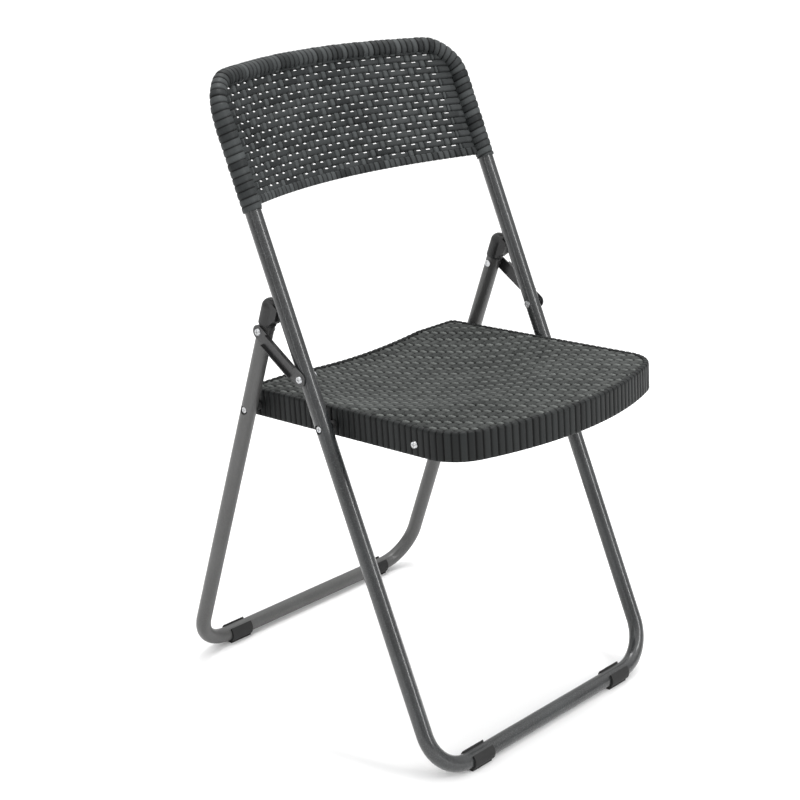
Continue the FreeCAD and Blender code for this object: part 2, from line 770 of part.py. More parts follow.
def make_backrest_screws():
    """Four tapping screws that hold the backrest sleeves on the tubes."""
    screws = []
    for shank, head in zip(backrest_screw_bodies(0), tapping_heads()):
        screws.append(moved_copy(shank.fuse(head).removeSplitter(), FRONT_PLACE))
    return Part.makeCompound(screws)


# ---- All nodes --------------------------------------------------------------------------

def make_nodes():
    """Every separate piece of the chair by node name."""
    nodes = {
        "front_frame_tube": make_front_frame(),
        "rear_frame_tube": make_rear_frame(),
        "seat_panel": make_seat_panel(),
        "backrest_panel": make_backrest(),
        "backrest_screws": make_backrest_screws()}
    for side, name in ((-1, "left"), (1, "right")):
        nodes[f"front_foot_{name}"] = make_foot(side, front_bar_y)
        nodes[f"rear_foot_{name}"] = make_foot(side, rear_bar_y)
        nodes[f"leg_cap_{name}"] = make_cap(side)
        nodes[f"side_link_{name}"] = make_link(side)
        nodes[f"seat_rail_{name}"] = make_seat_rail(side)
        add_seat_pivot_fasteners(nodes, side, name)
        add_link_fasteners(nodes, side, name)
        add_rail_fasteners(nodes, side, name)
    return nodes


os.makedirs("parts", exist_ok=True)
for node_name, shape in make_nodes().items():
    shape.exportStep(f"parts/{node_name}.step")
    print(node_name, "solids", len(shape.Solids), "valid", shape.isValid(), "volume", round(shape.Volume))
print("link rear pivot", link_rear, "seat pivot", seat_pivot, "leg pivot", leg_pivot,
      "link front", link_front)
print("turns", seat_turn, link_turn, leg_turn)
print("front bar y", front_bar_y)
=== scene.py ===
"""Looks of the folding chair: woven seat and backrest, painted tubes, plastic and zinc.

Metres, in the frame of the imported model. +Z is up and the chair faces -Y.
"""
import json
import logging
import math
from dataclasses import dataclass, field
from enum import Enum

import bpy
import numpy as np
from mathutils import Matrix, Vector


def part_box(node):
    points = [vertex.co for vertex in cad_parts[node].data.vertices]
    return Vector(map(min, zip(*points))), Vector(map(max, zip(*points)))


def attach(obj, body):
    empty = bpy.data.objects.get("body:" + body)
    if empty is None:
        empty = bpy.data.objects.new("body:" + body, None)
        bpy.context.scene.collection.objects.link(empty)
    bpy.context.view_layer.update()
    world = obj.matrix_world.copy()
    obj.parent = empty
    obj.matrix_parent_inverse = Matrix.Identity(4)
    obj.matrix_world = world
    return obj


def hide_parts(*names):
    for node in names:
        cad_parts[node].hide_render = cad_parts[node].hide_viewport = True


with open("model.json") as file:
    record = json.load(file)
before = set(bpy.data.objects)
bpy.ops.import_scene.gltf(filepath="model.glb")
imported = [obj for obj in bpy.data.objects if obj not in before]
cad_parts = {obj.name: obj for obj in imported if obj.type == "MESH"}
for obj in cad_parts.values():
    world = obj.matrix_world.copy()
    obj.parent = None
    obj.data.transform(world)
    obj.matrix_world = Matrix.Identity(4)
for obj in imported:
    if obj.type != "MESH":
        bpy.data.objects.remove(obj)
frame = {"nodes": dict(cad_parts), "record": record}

LOG = logging.getLogger("folding_chair")
TWO_PI = 2.0 * math.pi


class Body(Enum):
    """The moving bodies that new pieces ride on."""

    FRONT_FRAME = "front_frame"
    SEAT = "seat"


# ---- Arrays -----------------------------------------------------------------------------

def smooth_step(values: np.ndarray, start: float, end: float) -> np.ndarray:
    """Rise from 0 at start to 1 at end, with the cubic 3t^2 - 2t^3.

    Args:
        values: where to work out the rise.
        start: value at which the rise begins.
        end: value at which it ends.

    Returns:
        Numbers from 0 to 1.
    """
    share = np.clip((values - start) / (end - start), 0.0, 1.0)
    return share * share * (3.0 - 2.0 * share)


def scatter(index: np.ndarray) -> np.ndarray:
    """A fixed number from 0 to 1 for each whole number: the fraction of a large sine.

    Args:
        index: whole numbers, such as strand numbers.

    Returns:
        Numbers that look random but are the same each time.
    """
    return np.abs(np.modf(np.sin(index * 12.9898 + 4.1) * 43758.5453)[0])


def grid_quads(
        rows: int, columns: int, close_rows: bool = False, close_columns: bool = False) -> np.ndarray:
    """Four corners of every cell of a grid of points stored row by row.

    Args:
        rows: number of rows of points.
        columns: number of points in a row.
        close_rows: whether the last row joins the first.
        close_columns: whether each row's last point joins its first.

    Returns:
        An array with four point numbers for each cell.
    """
    row = np.arange(rows if close_rows else rows - 1)[:, None]
    column = np.arange(columns if close_columns else columns - 1)[None, :]
    next_row = (row + 1) % rows
    next_column = (column + 1) % columns
    corners = np.stack(np.broadcast_arrays(
        row * columns + column, row * columns + next_column,
        next_row * columns + next_column, next_row * columns + column), axis=-1)
    return corners.reshape(-1, 4)


def fan(ring_start: int, count: int, centre: int, flipped: bool) -> np.ndarray:
    """Triangles from a ring of points to its centre, which close an end.

    Args:
        ring_start: number of the ring's first point.
        count: number of points in the ring.
        centre: number of the centre point.
        flipped: whether to go round the other way.

    Returns:
        An array with three point numbers for each triangle.
    """
    here = ring_start + np.arange(count)
    after = ring_start + (np.arange(count) + 1) % count
    middle = np.full(count, centre)
    order = (after, here, middle) if flipped else (here, after, middle)
    return np.stack(order, axis=-1)


def make_piece(name: str, points: np.ndarray, polygons: list[np.ndarray],
               attributes: dict[str, np.ndarray]) -> bpy.types.Object:
    """Put arrays into a new mesh object at the origin.

    Args:
        name: the piece's name.
        points: one row of x, y, z for each point.
        polygons: arrays of point numbers, each with its own number of corners.
        attributes: numbers stored on the points, by attribute name.

    Returns:
        The new object, smooth shaded and linked into the scene.
    """
    mesh = bpy.data.meshes.new(name)
    mesh.vertices.add(len(points))
    mesh.vertices.foreach_set("co", points.astype(np.float32).ravel())
    corners = np.concatenate([block.ravel() for block in polygons])
    totals = np.concatenate([np.full(len(block), block.shape[1]) for block in polygons])
    mesh.loops.add(len(corners))
    mesh.loops.foreach_set("vertex_index", corners.astype(np.int32))
    mesh.polygons.add(len(totals))
    mesh.polygons.foreach_set("loop_start", (np.cumsum(totals) - totals).astype(np.int32))
    mesh.polygons.foreach_set("use_smooth", np.ones(len(totals), dtype=bool))
    mesh.update(calc_edges=True)
    for label, values in attributes.items():
        layer = mesh.attributes.new(label, "FLOAT", "POINT")
        layer.data.foreach_set("value", values.astype(np.float32).ravel())
    piece = bpy.data.objects.new(name, mesh)
    bpy.context.scene.collection.objects.link(piece)
    return piece


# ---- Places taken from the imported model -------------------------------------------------

@dataclass(frozen=True)
class TiltedPlane:
    """A frame turned about X: x stays across, y runs along one slope, z stands on it."""

    origin: tuple[float, float]
    tilt: float

    def place(self, local: np.ndarray) -> np.ndarray:
        """Turn points back by the tilt, then move them to the origin.

        Args:
            local: points in the plane's own frame.

        Returns:
            The points in the chair's frame.
        """
        cosine, sine = math.cos(self.tilt), math.sin(self.tilt)
        y = self.origin[0] + local[:, 1] * cosine + local[:, 2] * sine
        z = self.origin[1] - local[:, 1] * sine + local[:, 2] * cosine
        return np.stack([local[:, 0], y, z], axis=-1)


def joint_point(name: str) -> tuple[float, float]:
    """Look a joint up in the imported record.

    Args:
        name: the joint's name.

    Returns:
        Its y and z.
    """
    joints = frame["record"]["behaviour"]["joints"]
    place = next(joint["pos_m"] for joint in joints if joint["name"] == name)
    return place[1], place[2]


def middle(node: str) -> Vector:
    """Find the middle of a node's box.

    Args:
        node: the node's name.

    Returns:
        The middle.
    """
    low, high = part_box(node)
    return (Vector(low) + Vector(high)) / 2.0


def front_plane() -> TiltedPlane:
    """The front tubes' plane: origin on the floor bar's axis, z up along the tubes."""
    seat, link = joint_point("seat_fold"), joint_point("left_link_swing")
    lean = math.atan2(link[0] - seat[0], link[1] - seat[1])
    bar_y = middle("front_foot_left").y
    bar_z = seat[1] - (seat[0] - bar_y) / math.tan(lean)
    return TiltedPlane((bar_y, bar_z), lean)


def seat_plane() -> TiltedPlane:
    """The seat's plane: origin on the front pivot, y towards the rear pivot."""
    seat = joint_point("seat_fold")
    leg = middle("leg_pivot_screw_left")
    return TiltedPlane(seat, math.atan2(seat[1] - leg.z, leg.y - seat[0]))


# ---- Shader maths -----------------------------------------------------------------------

Socket = bpy.types.NodeSocket


class Signal:
    """A number that varies over a surface, with operators that add Math nodes."""

    def __init__(self, bench: "Bench", socket: Socket) -> None:
        """Wrap a socket of a bench's node tree."""
        self.bench = bench
        self.socket = socket

    def _maths(self, operation: str, first: "Signal | float", second: "Signal | float") -> "Signal":
        """One Math node.

        Args:
            operation: the node's operation.
            first: its first value.
            second: its second value.

        Returns:
            The result as a signal.
        """
        node = self.bench.node("ShaderNodeMath", {"operation": operation}, {0: first, 1: second})
        return Signal(self.bench, node.outputs[0])

    def __add__(self, other: "Signal | float") -> "Signal":
        """Sum."""
        return self._maths("ADD", self, other)

    __radd__ = __add__

    def __mul__(self, other: "Signal | float") -> "Signal":
        """Product."""
        return self._maths("MULTIPLY", self, other)

    __rmul__ = __mul__

    def __sub__(self, other: "Signal | float") -> "Signal":
        """Difference."""
        return self._maths("SUBTRACT", self, other)

    def __rsub__(self, other: "Signal | float") -> "Signal":
        """Difference the other way round."""
        return self._maths("SUBTRACT", other, self)


class Bench:
    """A node tree while it is being wired, with the material that it belongs to, if any."""

    def __init__(self, tree: bpy.types.NodeTree, material: bpy.types.Material | None = None) -> None:
        """Take over a tree and empty it.

        Args:
            tree: the tree to wire.
            material: the material that the tree belongs to.
        """
        self.tree = tree
        self.material = material
        tree.nodes.clear()

    @classmethod
    def for_material(cls, name: str) -> "Bench":
        """Start a new material.

        Args:
            name: the material's name.

        Returns:
            A bench on its tree.
        """
        material = bpy.data.materials.new(name)
        material.use_nodes = True
        return cls(material.node_tree, material)

    def node(self, kind: str, settings: dict | None = None, sockets: dict | None = None) -> bpy.types.Node:
        """Add a node.

        Args:
            kind: the node's type.
            settings: properties of the node, set before its sockets.
            sockets: values, signals or sockets for its inputs, by name or number.

        Returns:
            The new node.
        """
        node = self.tree.nodes.new(kind)
        for label, value in (settings or {}).items():
            setattr(node, label, value)
        for label, value in (sockets or {}).items():
            source = value.socket if isinstance(value, Signal) else value
            if isinstance(source, Socket):
                self.tree.links.new(source, node.inputs[label])
            else:
                node.inputs[label].default_value = source
        return node

    def attribute(self, label: str) -> Signal:
        """Read a number stored on the piece's points.

        Args:
            label: the attribute's name.

        Returns:
            The number as a signal.
        """
        node = self.node("ShaderNodeAttribute", {"attribute_name": label})
        return Signal(self, node.outputs["Fac"])

    def object_point(self, stretch: tuple[float, float, float] = (1.0, 1.0, 1.0)) -> Socket:
        """Object coordinates, scaled along each axis."""
        coordinates = self.node("ShaderNodeTexCoord")
        mapping = self.node("ShaderNodeMapping", {}, {
            "Vector": coordinates.outputs["Object"], "Scale": stretch})
        return mapping.outputs["Vector"]

    def noise(self, scale: float, detail: float = 3.0,
              stretch: tuple[float, float, float] = (1.0, 1.0, 1.0)) -> Signal:
        """Cloudy noise about 0.5, with scale repeats in a metre."""
        node = self.node("ShaderNodeTexNoise", {}, {
            "Vector": self.object_point(stretch), "Scale": scale, "Detail": detail})
        return Signal(self, node.outputs["Fac"])

    def cells(self, scale: float) -> Signal:
        """Distance to the nearest of scattered points.

        Args:
            scale: points in a metre.

        Returns:
            The distance as a signal.
        """
        node = self.node("ShaderNodeTexVoronoi", {}, {"Vector": self.object_point(), "Scale": scale})
        return Signal(self, node.outputs["Distance"])

    def between(self, value: Signal, low: float, high: float) -> Signal:
        """Stretch a signal and clamp it.

        Args:
            value: the signal.
            low: what gives 0.
            high: what gives 1.

        Returns:
            The stretched signal.
        """
        node = self.node("ShaderNodeMapRange", {"clamp": True}, {
            "Value": value, "From Min": low, "From Max": high})
        return Signal(self, node.outputs["Result"])

    def blend(self, factor: Signal, first: "Colour | Socket", second: "Colour | Socket") -> Socket:
        """Mix of two colours."""
        node = self.node("ShaderNodeMix", {"data_type": "RGBA"}, {
            0: factor, 6: opaque(first), 7: opaque(second)})
        return node.outputs[2]

    def bump(self, height: Signal, distance: float, strength: float = 1.0) -> Socket:
        """Normal bent by a height, with its depth in metres."""
        node = self.node("ShaderNodeBump", {}, {"Height": height, "Distance": distance, "Strength": strength})
        return node.outputs["Normal"]

    def surface(self, sockets: dict) -> bpy.types.Material:
        """Join a Principled shader to the output.

        Args:
            sockets: the shader's values, signals or sockets by name.

        Returns:
            The finished material.
        """
        shader = self.node("ShaderNodeBsdfPrincipled", {}, sockets)
        self.node("ShaderNodeOutputMaterial", {}, {"Surface": shader.outputs["BSDF"]})
        return self.material


Colour = tuple[float, float, float]


def opaque(colour: "Colour | Socket") -> "tuple | Socket":
    """A colour with full alpha, or a socket as it is."""
    return colour if isinstance(colour, Socket) else (*colour, 1.0)


# ---- Finishes ---------------------------------------------------------------------------

@dataclass(frozen=True)
class HammeredPaint:
    """Hammered powder coat: shallow cells with fine bright flecks in a dark grey."""

    name: str
    dark: Colour
    light: Colour
    cell_scale: float = 420.0
    depth: float = 0.00035
    metal: float = 0.3
    roughness: float = 0.36
    coat: float = 0.3

    def material(self) -> bpy.types.Material:
        """Wire the paint.

        Returns:
            The material.
        """
        bench = Bench.for_material(self.name)
        cells = bench.cells(self.cell_scale)
        cloud = bench.noise(self.cell_scale * 1.7, 2.0)
        wear = bench.noise(14.0, 4.0)
        fleck = bench.between(cloud, 0.5, 0.72)
        tone = bench.blend(fleck, self.dark, self.light)
        worn = bench.blend(bench.between(wear, 0.4, 0.75) * 0.35, tone, self.light)
        return bench.surface({
            "Base Color": worn,
            "Metallic": self.metal,
            "Coat Weight": self.coat,
            "Coat Roughness": 0.14,
            "Roughness": wear * 0.12 + cells * 0.1 + (self.roughness - 0.08),
            "Normal": bench.bump(cells + cloud * 0.6, self.depth, 0.7)})


@dataclass(frozen=True)
class MouldedPlastic:
    """Moulded plastic with a fine spark-eroded grain, paler where hands rub it."""

    name: str
    base: Colour
    rubbed_and_highlight: Colour
    roughness: float = 0.5
    grain: float = 1800.0

    def material(self) -> bpy.types.Material:
        """Wire the plastic.

        Returns:
            The material.
        """
        bench = Bench.for_material(self.name)
        grain = bench.noise(self.grain, 2.0)
        cloud = bench.noise(22.0, 4.0)
        return bench.surface({
            "Base Color": bench.blend(bench.between(cloud, 0.45, 0.8), self.base, self.rubbed_and_highlight),
            "Roughness": cloud * 0.16 + (self.roughness - 0.08),
            "Normal": bench.bump(grain, 0.00012, 0.6)})


@dataclass(frozen=True)
class WovenPlastic:
    """Woven strands, streaked along the strand: painted shade darkens the grooves, and the paler crests are
    partly rubbed wear and partly a painted highlight.
    """

    name: str
    groove_shade: Colour
    crest: Colour
    rubbed_and_highlight: Colour
    roughness: float = 0.44
    gloss: float = 0.12

    def material(self) -> bpy.types.Material:
        """Wire the strands.

        Returns:
            The material, which reads the relief and tone stored on the piece: the relief lays the painted
            shade, and the tone the paler crests, partly rubbed wear and partly painted highlight.
        """
        bench = Bench.for_material(self.name)
        relief = bench.attribute("relief")
        tone = bench.attribute("tone")
        streak = bench.noise(55.0, 4.0, (1.0, 14.0, 14.0))
        cloud = bench.noise(9.0, 3.0)
        grain = bench.noise(1500.0, 2.0)
        # Painted shade: the near-black groove colour is laid where the relief attribute is low, deep in the
        # weave and in the pinches between wraps and ribs.
        base = bench.blend(bench.between(relief, 0.4, 0.95), self.groove_shade, self.crest)
        # Painted highlight, partly rubbed wear: the crests, more so where the tone is high, are blended
        # towards the pale rubbed colour.
        rub = tone * relief * 0.8 + bench.between(cloud, 0.4, 0.8) * relief * 0.2
        shown = bench.blend(rub, base, self.rubbed_and_highlight)
        return bench.surface({
            "Base Color": shown,
            "Specular IOR Level": self.gloss,
            "Roughness": streak * 0.16 + (self.roughness + 0.06) - relief * 0.12,
            "Normal": bench.bump(streak * 0.8 + grain * 0.3, 0.0002, 0.6)})


@dataclass(frozen=True)
class ZincPlate:
    """Bright zinc with fine scratches and dull patches."""

    name: str
    bright: Colour = (0.52, 0.53, 0.55)
    dull: Colour = (0.5, 0.5, 0.49)

    def material(self) -> bpy.types.Material:
        """Wire the plating.

        Returns:
            The material.
        """
        bench = Bench.for_material(self.name)
        scratches = bench.noise(2600.0, 3.0, (1.0, 1.0, 0.1))
        patches = bench.noise(260.0, 3.0)
        return bench.surface({
            "Base Color": bench.blend(bench.between(patches, 0.4, 0.7), self.bright, self.dull),
            "Metallic": 1.0,
            "Roughness": patches * 0.2 + 0.18,
            "Normal": bench.bump(scratches, 0.00004, 0.5)})


FRONT_PAINT = HammeredPaint(
    "front_tube_paint", (0.005, 0.0058, 0.0062), (0.040, 0.044, 0.046), metal=0.1, coat=0.7)
REAR_PAINT = HammeredPaint(
    "rear_tube_paint", (0.058, 0.058, 0.057), (0.10, 0.10, 0.099), 700.0, 0.0001, 0.2, 0.42, 0.25)
LINK_PAINT = HammeredPaint(
    "link_paint", (0.014, 0.014, 0.0145), (0.04, 0.04, 0.041), 700.0, 0.0001, 0.2, 0.4, 0.3)
RAIL_PAINT = HammeredPaint(
    "rail_paint", (0.014, 0.014, 0.014), (0.035, 0.035, 0.035), 700.0, 0.0001, 0.2, 0.45, 0.2)
CAP_PLASTIC = MouldedPlastic("cap_plastic", (0.008, 0.008, 0.0085), (0.02, 0.02, 0.021))
FOOT_RUBBER = MouldedPlastic(
    "foot_rubber", (0.006, 0.006, 0.006), (0.014, 0.014, 0.014), 0.72, 1200.0)
SPACER_PLASTIC = MouldedPlastic(
    "spacer_plastic", (0.015, 0.015, 0.015), (0.03, 0.03, 0.03), 0.45)
STRANDS = WovenPlastic(
    "woven_strands", (0.0005, 0.0006, 0.0006), (0.013, 0.0145, 0.015), (0.062, 0.067, 0.068))
SEAT_STRANDS = WovenPlastic(
    "seat_strands", (0.0006, 0.0007, 0.0007), (0.020, 0.022, 0.021), (0.125, 0.132, 0.127))
# Painted shade: a darker copy of the seat's strands, so the skirt round the seat's side reads as shaded.
SHADED_SKIRT_STRANDS = WovenPlastic(
    "shaded_skirt_strands", (0.0004, 0.0004, 0.0004), (0.013, 0.014, 0.014), (0.022, 0.024, 0.024))
ZINC = ZincPlate("zinc_plate")

SLOT_FINISHES = {
    "front_paint": FRONT_PAINT, "rear_paint": REAR_PAINT, "link_steel": LINK_PAINT,
    "rail_steel": RAIL_PAINT, "cap_plastic": CAP_PLASTIC, "foot_rubber": FOOT_RUBBER,
    "spacer_nylon": SPACER_PLASTIC, "zinc": ZINC}
TUBE_RADIUS = 0.011


# ---- Weave ------------------------------------------------------------------------------

@dataclass(frozen=True)
class Weave:
    """Flat rows that dip under one crossing column in each repeat and pass over the others.

    Pitches, widths, the dip and the slits are in metres. Depths are multiples of height,
    over_start and over_end are in cells, and column_reach is in half widths of a column.
    """

    column_pitch: float
    row_pitch: float
    column_width: float
    repeat: int
    height: float = 0.0016
    row_fill: float = 0.88
    edge_drop: float = 0.95
    dip_start: float = 0.0003
    dip_end: float = 0.0030
    strand_tone: float = 0.55
    crossing_lift: float = 1.0
    slit_start: float = 0.0044
    slit_end: float = 0.0112
    dip_depth: float = 2.8
    hidden_depth: float = 3.0
    floor_depth: float = 1.8
    over_start: float = 0.34
    over_end: float = 0.62
    column_reach: float = 1.15
    shade_depth: float = 1.7

    def _from_crossing(self, phase: np.ndarray) -> np.ndarray:
        """Distance in cells to the middle of the cell that starts each repeat."""
        half = self.repeat / 2.0
        return np.abs(np.mod(phase - 0.5 + half, self.repeat) - half)

    def relief(
            self, across: np.ndarray, along: np.ndarray, plain: np.ndarray,
            ) -> tuple[np.ndarray, np.ndarray]:
        """Height of the weave's upper surface.

        Each strand follows its own wave, up where it passes over and down where it passes
        under, and falls off towards its edges with the sixth power of the distance from
        its middle. The surface is the higher of the two strands.

        Args:
            across: distance along the rows.
            along: distance along the columns.
            plain: 1 where only the rows show, 0 in the weave.

        Returns:
            The height above the middle surface, and a tone for each strand: a random strand tone, raised on
            the crossings as a painted highlight on the bumps.
        """
        u, v = across / self.column_pitch, along / self.row_pitch
        column, row = np.floor(u), np.floor(v)
        half_width = self.column_width / 2.0
        away = self._from_crossing(u + row) * self.column_pitch
        shown = smooth_step(away, half_width + self.dip_start, half_width + self.dip_end)
        under = (1.0 - shown) * (1.0 - plain)
        over = 1.0 - smooth_step(self._from_crossing(v + column), self.over_start, self.over_end)
        side_u = np.abs(u - column - 0.5) * self.column_pitch / half_width
        side_v = np.abs(2.0 * (v - row) - 1.0) / self.row_fill
        rows = self.height * (1.0 - self.dip_depth * under - self.edge_drop * side_v ** 6)
        crown = (1.0 + self.crossing_lift) * over - 1.0 - self.edge_drop * side_u ** 4
        columns = np.where(side_u < self.column_reach, self.height * crown, -self.hidden_depth * self.height)
        columns = columns - self.hidden_depth * self.height * plain
        floor = -self.floor_depth * self.height
        strand = scatter(row * 7.0 + np.floor((u + row) / self.repeat) * 3.0)
        varied = 0.6 + 0.4 * scatter(column + 11.0 + row * 3.0)
        # Painted highlight: the raised crossings get a higher tone than the rows, on top of the random strand
        # tone.
        crossing = self.strand_tone + (1.0 - self.strand_tone) * varied
        tone = np.where(rows > columns, strand * self.strand_tone, crossing)
        return np.maximum(np.maximum(rows, columns), floor), tone

    def shade(self, lift: np.ndarray) -> np.ndarray:
        """How open to the light a height is: 0 deep in the weave, 1 on a row's crest.

        Args:
            lift: heights above the middle surface.

        Returns:
            The shade, a straight line in the height.
        """
        return (lift / self.height + self.shade_depth) / (1.0 + self.shade_depth)

    def slits(self, across: np.ndarray, along: np.ndarray, height_share: float) -> np.ndarray:
        """Where the weave is open: just below each crossing, on both sides of its column.

        Args:
            across: distance along the rows.
            along: distance along the columns.
            height_share: height of a slit as a share of the row pitch.

        Returns:
            True in a slit.
        """
        u, v = across / self.column_pitch, along / self.row_pitch
        gap = np.floor(v + 0.5)
        away = self._from_crossing(u + gap) * self.column_pitch
        below = gap - v
        return (below > 0.0) & (below < height_share) & (away > self.slit_start) & (away < self.slit_end)


# ---- Backrest ---------------------------------------------------------------------------

@dataclass
class Backrest:
    """Bowed woven panel with a wrapped roll round its top and sides and a ribbed lower band."""

    plane: TiltedPlane
    material: bpy.types.Material
    tube_half_spacing: float
    sleeve_radius: float = 0.0135
    bow: float = 0.048
    sleeve_bottom: float = 0.770
    lower_side: float = 0.772
    lower_rise: float = 0.020
    top_side: float = 0.950
    top_rise: float = 0.028
    corner: float = 0.054
    roll_half_width: float = 0.0118
    roll_half_thickness: float = 0.0108
    wrap_pitch_side: float = 0.0095
    wrap_pitch_top: float = 0.0092
    wrap_depth: float = 0.0013
    wrap_lean: float = 0.22
    wrap_spread: float = 0.0005
    wrap_change: float = 0.02
    band_height: float = 0.012
    band_half_thickness: float = 0.0042
    band_rib_depth: float = 0.0009
    band_inset: float = 0.008
    panel_inset: float = 0.006
    panel_wall: float = 0.0022
    weave: Weave = field(default_factory=lambda: Weave(0.0210, 0.0096, 0.0073, 2))

    @property
    def half_width(self) -> float:
        """Middle plane to the outer side of a sleeve."""
        return self.tube_half_spacing + self.sleeve_radius

    @property
    def bow_radius(self) -> float:
        """Radius of the bow in plan, through both tubes and the middle of the panel."""
        return (self.tube_half_spacing ** 2 + self.bow ** 2) / (2.0 * self.bow)

    def bow_depth(self, x: np.ndarray) -> np.ndarray:
        """How far the bow lies behind the tubes: the circle of bow_radius in plan.

        Args:
            x: places across the chair.

        Returns:
            Depths behind the tubes' plane.
        """
        return self.bow - self.bow_radius + np.sqrt(self.bow_radius ** 2 - x ** 2)

    def arch(self, x: np.ndarray) -> np.ndarray:
        """1 on the middle plane and 0 at the sides, as a parabola."""
        return 1.0 - (x / self.half_width) ** 2

    def outward(self, x: np.ndarray) -> np.ndarray:
        """Unit normals of the bow, away from its centre."""
        y = np.sqrt(self.bow_radius ** 2 - x ** 2)
        return np.stack([x, y, np.zeros_like(x)], axis=-1) / self.bow_radius

    def make_panel(self) -> bpy.types.Object:
        """Woven panel on a grid of arc length across and height up, with its slits left out.

        Returns:
            The panel, given its thickness by Solidify.
        """
        per_column, per_row = 16, 7
        step_a = self.weave.column_pitch / per_column
        step_h = self.weave.row_pitch / per_row
        reach = self.bow_radius * math.asin((self.tube_half_spacing - self.panel_inset) / self.bow_radius)
        height = self.top_side - self.lower_side
        a = np.arange(-int(reach / step_a), int(reach / step_a) + 1) * step_a
        h = np.arange(3, int((height - 0.008) / step_h)) * step_h
        arc, up = np.meshgrid(a, h)
        x = self.bow_radius * np.sin(arc / self.bow_radius)
        plain = smooth_step(np.abs(arc), reach - 0.026, reach - 0.022)
        lift, tone = self.weave.relief(arc, up, plain)
        rise = self.lower_rise + (self.top_rise - self.lower_rise) * up / height
        height_up = self.lower_side + up + rise * self.arch(x)
        middle_line = np.stack([x, self.bow_depth(x), height_up], axis=-1)
        points = middle_line - self.outward(x) * lift[..., None]
        rows, columns = arc.shape
        quads = grid_quads(rows, columns)
        centre_a = (arc.ravel()[quads]).mean(axis=1)
        centre_h = (up.ravel()[quads]).mean(axis=1)
        centre_x = np.abs(self.bow_radius * np.sin(centre_a / self.bow_radius))
        open_slit = self.weave.slits(centre_a, centre_h, 2.0 / per_row) & (np.abs(centre_a) < reach - 0.028)
        open_slit &= (centre_h > self.band_height + 0.002) & (centre_h < height - 2.0 * self.roll_half_width)
        bend = self.corner - self.sleeve_radius
        side = self.tube_half_spacing - bend
        top = height - self.roll_half_width - bend
        past_corner = (centre_x > side) & (centre_h > top)
        past_corner &= np.hypot(centre_x - side, centre_h - top) > bend
        quads = quads[~(open_slit | past_corner)]
        shade = self.weave.shade(lift)
        panel = make_piece("backrest_weave", self.plane.place(points.reshape(-1, 3)), [quads], {
            "relief": shade, "tone": tone})
        wall = panel.modifiers.new("wall", "SOLIDIFY")
        wall.thickness = self.panel_wall
        wall.offset = 0.0
        return panel

    def roll_path(self, count: int) -> np.ndarray:
        """Middle line of the roll seen square on, evenly spaced.

        Up one sleeve, round a quarter circle, along the arched top and down the other.

        Args:
            count: number of points.

        Returns:
            Points (x, z) in the front tubes' plane.
        """
        bend = self.corner - self.sleeve_radius
        side = self.tube_half_spacing - bend
        top = self.top_side - self.roll_half_width
        angle = np.linspace(0.0, math.pi / 2.0, 60)
        straight = np.linspace(self.sleeve_bottom, top - bend, len(angle))
        across = np.linspace(-side, side, 240)
        left = np.concatenate([
            np.stack([np.full(len(angle), -self.tube_half_spacing), straight], axis=-1),
            np.stack([-side - bend * np.cos(angle), top - bend + bend * np.sin(angle)], axis=-1)])
        upper = np.stack([across, np.full(len(across), top)], axis=-1)
        line = np.concatenate([left, upper, left[::-1] * (-1.0, 1.0)])
        share = np.clip((line[:, 1] - self.lower_side) / (top - self.lower_side), 0.0, 1.0)
        line[:, 1] += self.top_rise * self.arch(line[:, 0]) * smooth_step(share, 0.75, 1.0)
        step = np.hypot(*np.diff(line, axis=0).T)
        length = np.concatenate([[0.0], np.cumsum(step)])
        even = np.linspace(0.0, length[-1], count)
        return np.stack([np.interp(even, length, line[:, 0]), np.interp(even, length, line[:, 1])], axis=-1)

    def make_roll(self) -> bpy.types.Object:
        """Wrapped roll: an oval carried along the middle line, pinched between the wraps.

        The radius falls with the fourth power of the distance from a wrap's middle, and
        the wraps lean a little round the roll.

        Returns:
            The roll, closed at both ends.
        """
        count, around = 1300, 28
        path = self.roll_path(count)
        x = path[:, 0]
        line = np.stack([x, self.bow_depth(x), path[:, 1]], axis=-1)
        tangent = np.gradient(line, axis=0)
        tangent /= np.linalg.norm(tangent, axis=1, keepdims=True)
        outward = self.outward(x)
        inward = np.cross(tangent, outward)
        corner_start = self.top_side - self.corner - self.wrap_change
        on_top = smooth_step(path[:, 1], corner_start, self.top_side - self.roll_half_width)
        half_thickness = self.sleeve_radius + (self.roll_half_thickness - self.sleeve_radius) * on_top
        half_width = self.sleeve_radius + (self.roll_half_width - self.sleeve_radius) * on_top
        pitch = self.wrap_pitch_side + (self.wrap_pitch_top - self.wrap_pitch_side) * on_top
        step = np.linalg.norm(np.diff(line, axis=0), axis=1)
        turns = np.concatenate([[0.0], np.cumsum(step / ((pitch[1:] + pitch[:-1]) / 2.0))])
        angle = np.arange(around) * TWO_PI / around
        phase = turns[:, None] + self.wrap_lean * np.sin(angle)[None, :]
        wrap = np.floor(phase)
        pinch = np.abs(2.0 * (phase - wrap) - 1.0) ** 4
        shrink = self.wrap_depth * pinch + self.wrap_spread * scatter(wrap)
        across = (half_thickness[:, None] - shrink) * np.cos(angle)[None, :]
        upward = (half_width[:, None] - shrink) * np.sin(angle)[None, :]
        points = line[:, None, :] + outward[:, None, :] * across[..., None]
        points = points + inward[:, None, :] * upward[..., None]
        ends = np.stack([line[0], line[-1]])
        everything = np.concatenate([points.reshape(-1, 3), ends])
        last = count * around
        faces = [
            grid_quads(count, around, close_columns=True),
            fan(0, around, last, True), fan(last - around, around, last + 1, False)]
        # Painted shade: the relief attribute falls in the pinches between the wraps, and the material darkens
        # them there.
        relief = np.concatenate([(1.0 - pinch).ravel(), [0.5, 0.5]])
        tone = np.concatenate([scatter(wrap).ravel(), [0.5, 0.5]])
        return make_piece("backrest_roll", self.plane.place(everything), faces, {
            "relief": relief, "tone": tone})

